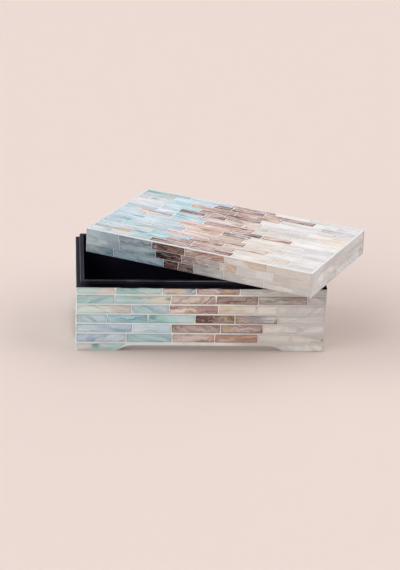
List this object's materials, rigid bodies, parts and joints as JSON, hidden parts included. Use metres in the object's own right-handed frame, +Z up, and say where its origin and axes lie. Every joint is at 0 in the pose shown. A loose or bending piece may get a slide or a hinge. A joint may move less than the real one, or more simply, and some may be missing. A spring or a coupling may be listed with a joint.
{
  "type": "shell box",
  "caption": "Rectangular keepsake box on bracket feet, faced with strips of polished shell in pale grout over black wood, its loose lid lying askew on the raised lip.",
  "frame": {"origin": "under the middle of the case and its askew lid together, on the surface that the feet stand on", "axes": "+X along the case's long front from left to right, +Y from the front to the back, +Z up"},
  "size_m": [0.2966, 0.243, 0.1002],
  "materials": {
    "lacquer": "black paint, satin, hand brushed",
    "case_shell": "polished shell strips in pale grout, blue to brown to cream",
    "lid_shell": "polished shell strips in pale grout, blue to brown to white",
    "aqua_shell": "polished shell strips in pale grout, blue and teal",
    "pearl_shell": "polished shell strips in pale grout, grey-white and cream"
  },
  "bodies": {
    "root": {"case_wood": "lacquer", "case_front_mosaic": "case_shell", "case_right_mosaic": "pearl_shell", "case_back_mosaic": "case_shell", "case_left_mosaic": "aqua_shell", "lid_wood": "lacquer", "lid_front_mosaic": "lid_shell", "lid_right_mosaic": "pearl_shell", "lid_back_mosaic": "lid_shell", "lid_left_mosaic": "aqua_shell", "lid_top_mosaic": "lid_shell"}
  },
  "joints": []
}
